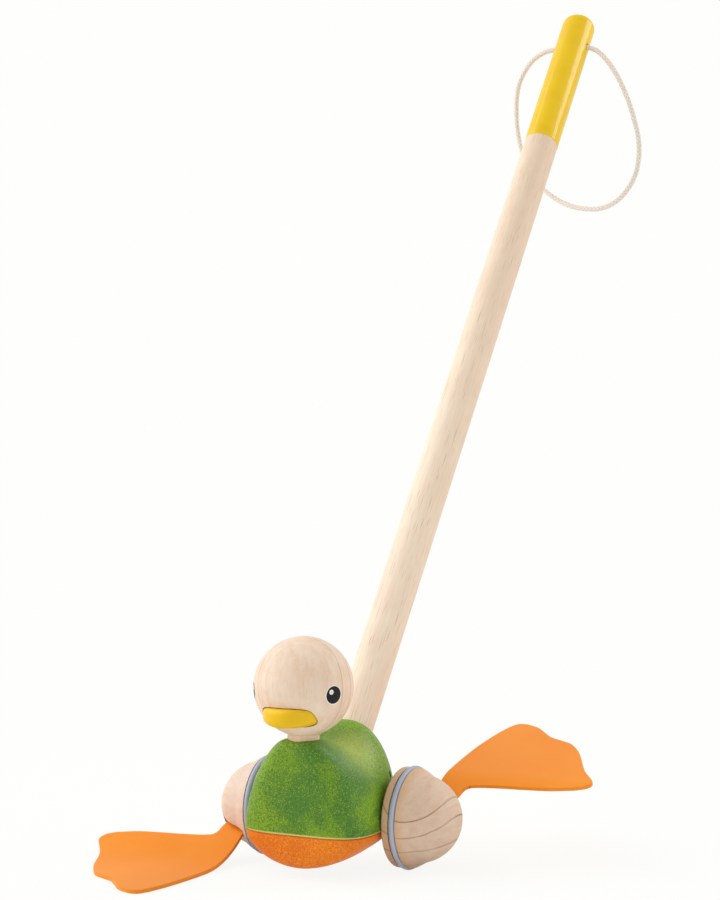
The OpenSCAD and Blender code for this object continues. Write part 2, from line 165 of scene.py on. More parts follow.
class Graph:
    """The node tree of a material or of the world, written as Python expressions."""

    def __init__(self, name: str, kind: Owner = Owner.MATERIAL) -> None:
        """Starts a material or a world with its one shader."""
        store = bpy.data.worlds if kind is Owner.WORLD else bpy.data.materials
        self.owner = store.new(name)
        self.owner.use_nodes = True
        self.tree = self.owner.node_tree
        self.shader = self.tree.nodes[kind.value]

    def node(self, kind: str, settings: dict | None = None, inputs: dict | None = None,
             output: str | int = 0) -> Socket:
        """Adds a node.

        Args:
            kind: The node's type, without Blender's prefix.
            settings: The node's own options, which are set first.
            inputs: Values or sockets by the input's name or place.
            output: Name or place of the output that is wanted.

        Returns:
            That output.
        """
        made = self.tree.nodes.new("ShaderNode" + kind)
        for name, value in (settings or {}).items():
            setattr(made, name, value)
        for name, value in (inputs or {}).items():
            self.feed(made.inputs[name], value)
        return Socket(self, made.outputs[output])

    def feed(self, target: bpy.types.NodeSocket, value: "Socket | float | tuple") -> None:
        """Links a socket to an input, or sets the input's own value."""
        if isinstance(value, Socket):
            self.tree.links.new(value.socket, target)
        elif isinstance(value, tuple) and len(target.default_value) == 4:
            target.default_value = (*value, 1.0)
        else:
            target.default_value = value

    def place(self, middle: Point = (0, 0, 0), turn: Point = (0, 0, 0),
              stretch: Point = (1, 1, 1)) -> Socket:
        """Gives the piece's own coordinates from a middle, turned and then stretched.

        Args:
            middle: Point of the piece that becomes the origin.
            turn: Turn about X, Y and Z in radians.
            stretch: Factors along the turned axes.

        Returns:
            The coordinates.
        """
        own = self.node("TexCoord", output="Object")
        moved = self.node("VectorMath", {"operation": "SUBTRACT"}, {0: own, 1: middle})
        turned = self.node("Mapping", {}, {"Vector": moved, "Rotation": turn})
        return self.node("Mapping", {}, {"Vector": turned, "Scale": stretch})

    def axes(self, vector: Socket) -> tuple[Socket, Socket, Socket]:
        """Splits coordinates into X, Y and Z."""
        parts = [self.node("SeparateXYZ", {}, {"Vector": vector}, output=i) for i in range(3)]
        return parts[0], parts[1], parts[2]

    def noise(self, vector: Socket, scale: float, detail: float = 2.0, rough: float = 0.5) -> Socket:
        """Gives soft noise around 0.5, at scale cells in a metre."""
        inputs = {"Vector": vector, "Scale": scale, "Detail": detail, "Roughness": rough}
        return self.node("TexNoise", {}, inputs, output=0)

    def cells(self, vector: Socket, scale: float, output: str = "Distance") -> Socket:
        """Gives random cells, at scale cells in a metre."""
        return self.node("TexVoronoi", {}, {"Vector": vector, "Scale": scale}, output=output)

    def measure(self, operation: str, *vectors: "Socket | Point") -> Socket:
        """Gives the number that a Vector Math node finds, such as a length."""
        return self.node("VectorMath", {"operation": operation}, dict(enumerate(vectors)), output="Value")

    def seen(self) -> Socket:
        """Gives 1 for rays from the camera and those that gloss or clear pieces send on, and else 0."""
        camera, gloss, clear = (self.node("LightPath", output=f"Is {ray} Ray")
                                for ray in ("Camera", "Glossy", "Transmission"))
        return camera.over(gloss).over(clear)

    def mix(self, factor: Socket, first: "Socket | Colour", second: "Socket | Colour") -> Socket:
        """Blends two colours."""
        return self.node("Mix", {"data_type": "RGBA"}, {0: factor, 6: first, 7: second}, output=2)

    def bump(self, height: Socket, depth: float) -> Socket:
        """Turns a height of 0 to 1 into a bent normal, for relief of that depth in metres."""
        return self.node("Bump", {}, {"Height": height, "Distance": depth, "Strength": 1.0})

    def finish(self, **sockets: "Socket | float | tuple") -> "bpy.types.Material | bpy.types.World":
        """Sets the shader's inputs, with underscores for the spaces in their names."""
        for name, value in sockets.items():
            self.feed(self.shader.inputs[name.replace("_", " ")], value)
        return self.owner


@dataclass(frozen=True)
class BareWood:
    """Pale sanded wood with growth lines, fibres and pores along its own Z."""

    name: str
    middle: Point = (0, 0, 0)
    turn: Point = (0, 0, 0)
    pith: tuple[float, float] = (0.03, 0.02)
    ring_gap: float = 0.006
    ring_start: float = 0.0
    ring_depth: float = 0.5
    ring_share: float = 0.5
    wander: float = 0.003
    pith_bare: float = 8 * MM
    pith_end: float = 20 * MM
    pore_depth: float = 0.45
    pore_draw: float = 0.09
    pale: Colour = tone(238, 214, 190)
    warm: Colour = tone(222, 186, 154)
    late: Colour = tone(140, 98, 68)
    # Side tone along one way: warmer towards the left wheel's inner face, and painted shade on the stick's +X
    # side, away from the key lamp
    flush_and_shade: Colour = tone(222, 176, 122)
    flush_and_shade_way: Point = (-1, 0, 0)
    flush_and_shade_from: float = 1.0
    flush_and_shade_full: float = 2.0

    def grain(self, g: Graph, draw: float = 1.0) -> Socket:
        """Gives the wood's own coordinates, which draw patterns out along the grain by 1 over draw."""
        return g.place(self.middle, self.turn, (1, 1, draw))

    def material(self) -> bpy.types.Material:
        """Builds the wood.

        Growth lines are thin dark bands of the distance from the pith, which noise wanders. Only a share
        of them shows, and none next to the pith. Fibres and pores are noise that is drawn out along the
        grain. Along one way, the wood turns to a side tone: warmer towards the left wheel's inner face,
        and painted shade on the stick's +X side.

        Returns:
            The material.
        """
        g = Graph(self.name)
        own = self.grain(g)
        drawn = self.grain(g, 0.12)
        x, y, _ = g.axes(own)
        stray = (g.noise(drawn, 45, 2.0) - 0.5) * self.wander
        away = g.node("CombineXYZ", {}, {"X": x - self.pith[0] + stray, "Y": y - self.pith[1] + stray})
        reach = g.measure("LENGTH", away)
        count = reach / self.ring_gap + self.ring_start + (g.noise(drawn, 20, 1.0) - 0.5) * 0.7
        band = count.part()
        chance = g.node("TexWhiteNoise", {"noise_dimensions": "1D"}, {"W": count.whole()})
        shown = 1 - chance.step(self.ring_share - 0.2, self.ring_share + 0.2)
        clear = reach.step(self.pith_bare, self.pith_end)
        line = band.step(0.86, 0.965) * (1 - band.step(0.97, 1.0)) * shown * clear
        cloud = g.noise(own, 42, 2.0).step(0.3, 0.7)
        fibre = g.noise(self.grain(g, 0.03), 1700, 3.0, 0.6)
        streak = g.noise(self.grain(g, 0.04), 240, 3.0, 0.6)
        pore = g.noise(self.grain(g, self.pore_draw), 1900, 1.0).step(0.63, 0.73)
        tint = g.mix(streak.step(0.28, 0.75) * 0.45 + band * 0.12 + cloud * 0.35, self.pale, self.warm)
        along = g.measure("DOT_PRODUCT", own, self.flush_and_shade_way)
        # Turns to the side tone along one way: a warmer tone on the left wheel, painted shade on the stick
        flushed_and_shaded = g.mix((along + stray).step(self.flush_and_shade_from, self.flush_and_shade_full) * 0.75, tint, self.flush_and_shade)
        lined = g.mix(line * (0.4 + cloud * 0.6) * self.ring_depth, flushed_and_shaded, self.late)
        fibred = g.mix((fibre - 0.35).step(0.0, 0.5) * 0.1, lined, self.late)
        pored = g.mix(pore * self.pore_depth, fibred, self.late)
        height = fibre * 0.4 - pore * 0.6 - line * 0.25
        return g.finish(Base_Color=pored, Roughness=0.52 + fibre * 0.14 + pore * 0.1,
                        Normal=g.bump(height, 0.05 * MM), Specular_IOR_Level=0.3)


@dataclass(frozen=True)
class SpeckledStain:
    """Stained pressed wood under satin lacquer, full of fine light and dark flecks."""

    name: str
    deep: Colour
    plain: Colour
    bright: Colour
    fleck: Colour
    # Tone of the seam band (worn lip with painted edge highlight on the green, painted shade on the orange)
    # and of the painted highlight
    lip: Colour
    seam_z: float
    dim: Colour
    # Offset of the tone clouds: on the green it places dim clouds as painted shade on the breast and paler
    # clouds as painted light on the flank
    light_and_shade_offset: Point = (0, 0, 0)
    grain: float = 1000.0
    # Middle and reach of a painted highlight: a soft paler patch in the lip tone
    painted_highlight_at: Point = (0, 0, -1)
    painted_highlight_reach: float = 0.02

    def material(self) -> bpy.types.Material:
        """Builds the stain: cloudy tone with painted shade and light, two grains, flecks, a painted highlight
        and a seam band.

        Returns:
            The material.
        """
        g = Graph(self.name)
        own = g.place()
        _, _, z = g.axes(own)
        cloud = g.noise(g.place(self.light_and_shade_offset), 36, 3.0, 0.55)
        grain = g.noise(own, self.grain, 3.0, 0.7)
        fine = g.noise(own, self.grain * 2.1, 2.0, 0.6)
        spot = 1 - g.cells(own, self.grain).step(0.15, 0.5)
        chance = g.node("SeparateColor", {}, {0: g.cells(own, self.grain, "Color")}, output=0)
        lit = spot * chance.step(0.5, 0.85)
        dark = spot * (1 - chance.step(0.15, 0.45))
        # Cloudy tone, random on the orange; on the green its dim and pale clouds are painted shade and
        # painted light
        cloud_and_painted_shade = g.mix(cloud.step(0.36, 0.62), self.dim, self.plain)
        base = g.mix((1 - grain.step(0.34, 0.6)) * 0.8, cloud_and_painted_shade, self.deep)
        warm = g.mix(fine.step(0.5, 0.72) * (0.3 + cloud * 0.6), base, self.bright)
        flecked = g.mix(lit * 0.55, g.mix(dark * 0.7, warm, self.deep), self.fleck)
        # Painted highlight: the lip tone mixed in round one place, on the green the saddle
        far = g.measure("DISTANCE", own, self.painted_highlight_at)
        highlight_mask = 1 - (far + (cloud - 0.5) * 0.02).step(0.0, self.painted_highlight_reach)
        highlighted = g.mix(highlight_mask * (0.3 + grain * 0.5), flecked, self.lip)
        # Band along the seam in the lip tone: worn lip and painted edge highlight on the green, painted shade
        # under the green's lip on the orange
        worn = 1 - ((z - self.seam_z) / MM + (fine - 0.5) * 0.8).away().step(0.55, 1.15)
        edged = g.mix(worn * 0.85, highlighted, self.lip)
        height = grain * 0.7 + fine * 0.4
        return g.finish(Base_Color=edged, Roughness=0.44 + fine * 0.2, Normal=g.bump(height, 0.08 * MM),
                        Specular_IOR_Level=0.25, Coat_Weight=0.1, Coat_Roughness=0.25)


@dataclass(frozen=True)
class GlossPaint:
    """Glossy paint over turned wood, with a slight ripple and tone."""

    name: str
    full: Colour
    thin: Colour

    def material(self) -> bpy.types.Material:
        """Builds the paint.

        Returns:
            The material.
        """
        g = Graph(self.name)
        own = g.place()
        cloud = g.noise(own, 60, 3.0)
        ripple = g.noise(own, 420, 2.0)
        speck = g.noise(own, 1900, 2.0, 0.7)
        colour = g.mix(cloud.step(0.3, 0.75) * 0.5 + speck.step(0.55, 0.8) * 0.25, self.full, self.thin)
        return g.finish(Base_Color=colour, Roughness=0.4 + speck * 0.12, Specular_IOR_Level=0.15,
                        Coat_Weight=0.3, Coat_Roughness=0.09, Normal=g.bump(ripple + speck * 0.12, 0.05 * MM))


@dataclass(frozen=True)
class SoftRubber:
    """Moulded rubber with a satin skin, cloudy tone and faint dust."""

    name: str
    full: Colour
    worn: Colour
    rough: float = 0.5

    def material(self) -> bpy.types.Material:
        """Builds the rubber.

        Returns:
            The material.
        """
        g = Graph(self.name)
        own = g.place()
        cloud = g.noise(own, 26, 3.0)
        skin = g.noise(own, 1300, 3.0, 0.65)
        dust = g.noise(own, 210, 4.0, 0.65).step(0.55, 0.85)
        colour = g.mix(cloud.step(0.3, 0.8) * 0.45 + dust * 0.3, self.full, self.worn)
        return g.finish(Base_Color=colour, Roughness=self.rough + dust * 0.12 + (skin - 0.5) * 0.1,
                        Normal=g.bump(skin, 0.04 * MM), Specular_IOR_Level=0.22)


@dataclass(frozen=True)
class CottonBraid:
    """Braided cotton cord: two sets of strands that cross, read from the cord's own map."""

    name: str
    lit: Colour = tone(239, 229, 220)
    shade: Colour = tone(225, 212, 201)
    strands: float = 8.0
    lay: float = 0.62

    def material(self) -> bpy.types.Material:
        """Builds the braid.

        The map's U counts cord diameters along the cord and its V goes once round it. Strands that run
        both ways round are sines of U and V, and whichever is higher lies on top.

        Returns:
            The material.
        """
        g = Graph(self.name)
        u, v, _ = g.axes(g.node("TexCoord", output="UV"))
        turns = 2 * math.pi
        along = u * (turns * self.lay * self.strands / 4)
        round_it = v * (turns * self.strands / 2)
        one = (along + round_it).wave()
        other = (along - round_it).wave()
        yarn = g.noise(g.place(), 2600, 2.0)
        height = one.over(other) * 0.5 + 0.5
        colour = g.mix(height.step(0.45, 0.95) * (0.7 + yarn * 0.5), self.shade, self.lit)
        return g.finish(Base_Color=colour, Roughness=0.85, Normal=g.bump(height + yarn * 0.3, 0.12 * MM),
                        Sheen_Weight=0.25, Sheen_Roughness=0.5)


@dataclass(frozen=True)
class PrintedInk:
    """Pad-printed ink with a slight unevenness."""

    name: str
    ink: Colour
    thin: Colour
    rough: float = 0.35

    def material(self) -> bpy.types.Material:
        """Builds the ink.

        Returns:
            The material.
        """
        g = Graph(self.name)
        patch = g.noise(g.place(), 700, 3.0)
        return g.finish(Base_Color=g.mix(patch.step(0.45, 0.9) * 0.5, self.ink, self.thin),
                        Roughness=self.rough + patch * 0.1, Normal=g.bump(patch, 0.02 * MM),
                        Specular_IOR_Level=0.25)


@dataclass(frozen=True)
class DrawnSteel:
    """Drawn steel rod with fine lines along X."""

    name: str = "drawn_steel"
    metal: Colour = tone(196, 198, 202)
    dull: Colour = tone(150, 150, 152)

    def material(self) -> bpy.types.Material:
        """Builds the steel.

        Returns:
            The material.
        """
        g = Graph(self.name)
        line = g.noise(g.place(stretch=(0.02, 1, 1)), 2400, 2.0)
        stain = g.noise(g.place(), 160, 3.0)
        colour = g.mix(stain.step(0.5, 0.8) * 0.4, self.metal, self.dull)
        return g.finish(Base_Color=colour, Metallic=1.0, Roughness=0.26 + line * 0.2,
                        Normal=g.bump(line, 0.02 * MM))


@dataclass(frozen=True)
class NaturalNylon:
    """Natural nylon, cloudy white with a satin skin."""

    name: str = "natural_nylon"
    white: Colour = tone(236, 234, 226)
    cream: Colour = tone(214, 210, 196)

    def material(self) -> bpy.types.Material:
        """Builds the nylon.

        Returns:
            The material.
        """
        g = Graph(self.name)
        cloud = g.noise(g.place(), 240, 3.0)
        colour = g.mix(cloud.step(0.4, 0.8) * 0.4, self.white, self.cream)
        return g.finish(Base_Color=colour, Roughness=0.42 + cloud * 0.12, Normal=g.bump(cloud, 0.03 * MM))


@dataclass(frozen=True)
class Placing:
    """A place with its own axes, as rows of a turn."""

    middle: Array
    axes: Array

    def put(self, local: Array) -> Array:
        """Takes points from this place's own axes to the scene's."""
        return local @ self.axes + self.middle


def once_round(count: int) -> Array:
    """Gives that many angles, evenly once round."""
    return np.linspace(0, 2 * np.pi, count, endpoint=False)


def grid_quads(rows: int, cols: int, closed: bool) -> Array:
    """Gives the quads between the points of a grid that is stored row by row.

    Args:
        rows, cols: Number of points each way.
        closed: Whether the last column joins the first.

    Returns:
        Indices, four to a quad.
    """
    i, j = np.meshgrid(np.arange(rows - 1), np.arange(cols if closed else cols - 1), indexing="ij")
    k = (j + 1) % cols
    row, after = i * cols, (i + 1) * cols
    return np.stack([row + j, row + k, after + k, after + j], -1).reshape(-1, 4)


def enclosed(points: Array, quads: Array) -> float:
    """Gives the volume within the quads, negative where they face inwards."""
    a, b, c, d = (points[quads[:, i]] for i in range(4))
    return float((np.cross(b, c) * a).sum() + (np.cross(c, d) * a).sum()) / 6


def new_piece(name: str, points: Array, faces: list) -> bpy.types.Object:
    """Makes a smooth mesh object at the origin with sharp edges kept sharp.

    Args:
        name: The piece's name.
        points: Places of the points, one row each.
        faces: Lists of indices.

    Returns:
        The object, linked to the scene.
    """
    mesh = bpy.data.meshes.new(name)
    mesh.from_pydata(points.tolist(), [], faces)
    mesh.validate()
    piece = bpy.data.objects.new(name, mesh)
    bpy.context.scene.collection.objects.link(piece)
    smooth(piece)
    return piece


def smooth(piece: bpy.types.Object) -> None:
    """Shades a piece smooth apart from its sharp edges."""
    mesh = piece.data
    mesh.polygons.foreach_set("use_smooth", np.ones(len(mesh.polygons), bool))
    mesh.set_sharp_from_angle(angle=SHARP_EDGE)
    mesh.update()


def loft(name: str, rings: Array) -> bpy.types.Object:
    """Makes a closed solid through rings of points, with a face at each end.

    Args:
        name: The piece's name.
        rings: Points of each ring, as an array of rings, points and coordinates.

    Returns:
        The object, with its faces outwards.
    """
    rows, cols, _ = rings.shape
    points = rings.reshape(-1, 3)
    quads = grid_quads(rows, cols, True)
    ends = [list(range(cols))[::-1], list(range((rows - 1) * cols, rows * cols))]
    faces = quads.tolist() + ends
    if enclosed(points, quads) < 0:
        faces = [face[::-1] for face in faces]
    return new_piece(name, points, faces)


def revolve(name: str, profile: Array, place: Placing, sides: int) -> bpy.types.Object:
    """Turns a profile about an axis into a closed solid.

    Args:
        name: The piece's name.
        profile: Radius and height of each point, from one end of the axis to the other.
        place: Where the axis stands, along its Z.
        sides: Number of points round.

    Returns:
        The object.
    """
    a = once_round(sides)
    r, h = profile[:, :1], profile[:, 1:]
    return loft(name, place.put(np.stack([r * np.cos(a), r * np.sin(a), h + 0 * a], -1)))


def settle(piece: bpy.types.Object) -> None:
    """Makes a piece's modifiers part of its mesh.

    Args:
        piece: The object, which has no modifiers afterwards.
    """
    bpy.context.view_layer.update()
    graph = bpy.context.evaluated_depsgraph_get()
    made = bpy.data.meshes.new_from_object(piece.evaluated_get(graph))
    made.name = piece.name
    piece.modifiers.clear()
    old, piece.data = piece.data, made
    bpy.data.meshes.remove(old)
    smooth(piece)


def carve(piece: bpy.types.Object, *tools: bpy.types.Object) -> bpy.types.Object:
    """Cuts tools out of a piece and removes the tools.

    Args:
        piece: The solid that is cut.
        tools: Solids that are taken out of it.

    Returns:
        The piece.
    """
    for tool in tools:
        cut = piece.modifiers.new("cut", "BOOLEAN")
        cut.operation = "DIFFERENCE"
        cut.solver = "EXACT"
        cut.object = tool
    settle(piece)
    for tool in tools:
        bpy.data.meshes.remove(tool.data)
    return piece


def bar(start: Array, end: Array, radius: float, sides: int = 48) -> bpy.types.Object:
    """Makes a round bar between two points, to cut with."""
    length = float(np.linalg.norm(end - start))
    return revolve("bar", np.array([[radius, 0], [radius, length]]), upright(start, end - start), sides)


def upright(middle: Array, up: Array) -> Placing:
    """Gives a place whose own Z points up the given way, and whose X stays level."""
    z = up / np.linalg.norm(up)
    x = np.cross([0.0, 1.0, 0.0] if abs(z[1]) < 0.9 else [0.0, 0.0, 1.0], z)
    x = x / np.linalg.norm(x)
    return Placing(np.asarray(middle, float), np.stack([x, np.cross(z, x), z]))


def spline(points: Array, steps: int) -> Array:
    """Runs a smooth curve through points, by the Catmull-Rom formula.

    Args:
        points: Points that the curve goes through.
        steps: Number of points that are wanted.

    Returns:
        Points along the curve.
    """
    ends = np.concatenate([[2 * points[0] - points[1]], points, [2 * points[-1] - points[-2]]])
    f = np.linspace(0, len(points) - 1, steps)
    i = np.minimum(f.astype(int), len(points) - 2)
    s = (f - i)[:, None]
    a, b, c, d = (ends[i + k] for k in range(4))
    square, cube = 2 * a - 5 * b + 4 * c - d, 3 * b - a - 3 * c + d
    return 0.5 * (2 * b + (c - a) * s + square * s ** 2 + cube * s ** 3)


def dress(piece: bpy.types.Object, material: bpy.types.Material, body: str,
          stands_for: tuple[str, ...] = ()) -> None:
    """Gives a piece its finish and the body that it rides on.

    Args:
        piece: The object.
        material: Its finish.
        body: Name of the moving body that carries it.
        stands_for: Nodes that it replaces.
    """
    piece.data.materials.clear()
    piece.data.materials.append(material)
    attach(piece, body)
    if stands_for:
        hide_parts(*stands_for)
    log.info("%s rides on %s", piece.name, body)


def middle_of(node: str) -> Array:
    """Gives the middle of a node's box."""
    low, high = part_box(node)
    return (np.array(low) + np.array(high)) / 2


@dataclass
class Studio:
    """The camera at the photograph's angle, soft light and a pale floor."""

    stand: Point = (0.6109, -1.1943, 0.2937)
    bearing: float = math.radians(26.57)
    dip: float = math.radians(1.84)
    lens: float = 88.65
    sensor_w: float = 36.0
    nearest: float = 0.05
    # Name, place, aim, length of side and watts of each lamp
    lamps: tuple = (("key", (-1.8, -0.7, 1.6), (0, 0, 0.15), 2.6, 48),
                    ("fill", (1.8, -0.6, 0.9), (0, 0, 0.2), 1.4, 5.5),
                    ("edge", (1.2, 1.35, 1.5), (0, 0.1, 0.2), 0.8, 13))
    world_level: float = 0.56
    backdrop: Colour = tone(254, 254, 252)
    floor_half: float = 6.0
    floor_tone: Colour = tone(246, 246, 243)
    floor_shadow: float = 0.1

    def hang(self, name: str, data: bpy.types.ID, place: Point, look: Vector) -> bpy.types.Object:
        """Puts a camera or a lamp in its place, turned to look the given way.

        Args:
            name: The object's name.
            data: The camera or the lamp.
            place: Where it hangs.
            look: The way that it looks.

        Returns:
            The object.
        """
        made = bpy.data.objects.new(name, data)
        made.location = place
        made.rotation_euler = look.to_track_quat("-Z", "Y").to_euler()
        bpy.context.scene.collection.objects.link(made)
        return made

    def camera(self) -> None:
        """Makes the camera."""
        look = Vector((-math.sin(self.bearing) * math.cos(self.dip),
                       math.cos(self.bearing) * math.cos(self.dip), -math.sin(self.dip)))
        data = bpy.data.cameras.new("camera")
        data.lens = self.lens
        data.sensor_width = self.sensor_w
        data.clip_start = self.nearest
        bpy.context.scene.camera = self.hang("camera", data, self.stand, look)

    def light(self) -> None:
        """Hangs the soft square lamps and lights the world, which shows white to the camera and to gloss."""
        for name, place, aim, size, watts in self.lamps:
            data = bpy.data.lights.new(name, "AREA")
            data.size = size
            data.energy = watts
            self.hang(name, data, place, Vector(aim) - Vector(place))
        g = Graph("studio", Owner.WORLD)
        level = g.node("MapRange", {}, {"Value": g.seen(), "To Min": self.world_level, "To Max": 1.0})
        bpy.context.scene.world = g.finish(Color=self.backdrop, Strength=level)

    def floor(self) -> None:
        """Lays the pale floor, which shows the camera near white and keeps the soft shadow."""
        corners = np.array([[-1, -1, 0], [1, -1, 0], [1, 1, 0], [-1, 1, 0]]) * self.floor_half
        piece = new_piece("floor", corners, [[0, 1, 2, 3]])
        g = Graph("pale_floor")
        g.finish(Base_Color=self.floor_tone, Roughness=0.9)
        away = g.measure("LENGTH", g.place())
        glow = g.node("Emission", {}, {"Color": self.backdrop, "Strength": 1.0})
        share = g.seen() * (1 - self.floor_shadow + away.step(0.1, 0.7) * self.floor_shadow)
        both = g.node("MixShader", {}, {0: share, 1: Socket(g, g.shader.outputs[0]), 2: glow})
        g.tree.links.new(both.socket, g.tree.nodes["Material Output"].inputs["Surface"])
        piece.data.materials.append(g.owner)


@dataclass
class WristCord:
    """The cotton cord's loop through the cross hole of the grip."""

    hole: Array
    thick: float = 3.8 * MM
    sides: int = 14
    steps: int = 420
    # Route of the cord's middle in millimetres, as X and Z from the hole's middle
    route: tuple = (
        (4, 0), (9, 0), (14, -1), (19, -3), (24, -7), (30, -14), (36, -23), (41, -33), (46, -45), (50, -58),
        (53, -71), (53.5, -84), (51, -97), (45, -108), (36, -117), (24, -122), (11, -122), (-2, -119),
        (-14, -113), (-24, -105), (-32, -95), (-38, -84), (-42, -73), (-44.5, -61), (-45.5, -50),
        (-45.5, -37), (-43, -24), (-37, -13), (-30, -6), (-22, -2), (-14, -0.5), (-9, 0), (-4, 0))

    def path(self) -> Array:
        """Gives points along the cord's middle."""
        flat = spline(np.array(self.route, float), self.steps) * MM
        return self.hole + np.stack([flat[:, 0], 0 * flat[:, 0], flat[:, 1]], -1)

    def build(self) -> None:
        """Makes the cord as a tube along its route, with a map for its braid."""
        path = self.path()
        run = np.gradient(path, axis=0)
        run = run / np.linalg.norm(run, axis=1, keepdims=True)
        level = np.array([0.0, 1.0, 0.0])
        out = np.cross(run, level)
        a = once_round(self.sides)[None, :, None]
        rings = path[:, None] + self.thick / 2 * (np.cos(a) * out[:, None] + np.sin(a) * level)
        piece = loft("wrist_cord_braid", rings)
        gone = np.concatenate([[0], np.cumsum(np.linalg.norm(np.diff(path, axis=0), axis=1))])
        self.map_round(piece, gone / self.thick)
        dress(piece, CottonBraid("cotton_braid").material(), "duck", ("wrist_cord",))

    def map_round(self, piece: bpy.types.Object, along: Array) -> None:
        """Writes the cord's map: U counts diameters along it and V goes once round it.

        Args:
            piece: The tube.
            along: U of each ring.
        """
        mesh = piece.data
        corners = np.zeros(len(mesh.loops), int)
        starts, totals = np.zeros((2, len(mesh.polygons)), int)
        mesh.loops.foreach_get("vertex_index", corners)
        mesh.polygons.foreach_get("loop_start", starts)
        mesh.polygons.foreach_get("loop_total", totals)
        column = corners % self.sides
        first = np.repeat(np.minimum.reduceat(column, starts), totals)
        last = np.repeat(np.maximum.reduceat(column, starts), totals)
        seam = (first == 0) & (last == self.sides - 1) & (column == 0)
        v = np.where(seam, self.sides, column) / self.sides
        u = along[corners // self.sides]
        mesh.uv_layers.new(name="braid").data.foreach_set("uv", np.stack([u, v], -1).ravel())


def rounding(t: Array, power: float) -> Array:
    """Gives a rounded fall from 1 at t = 0 to 0 at t = 1: the power root of 1 less t to that power."""
    return np.maximum(0, 1 - np.minimum(1, t) ** power) ** (1 / power)


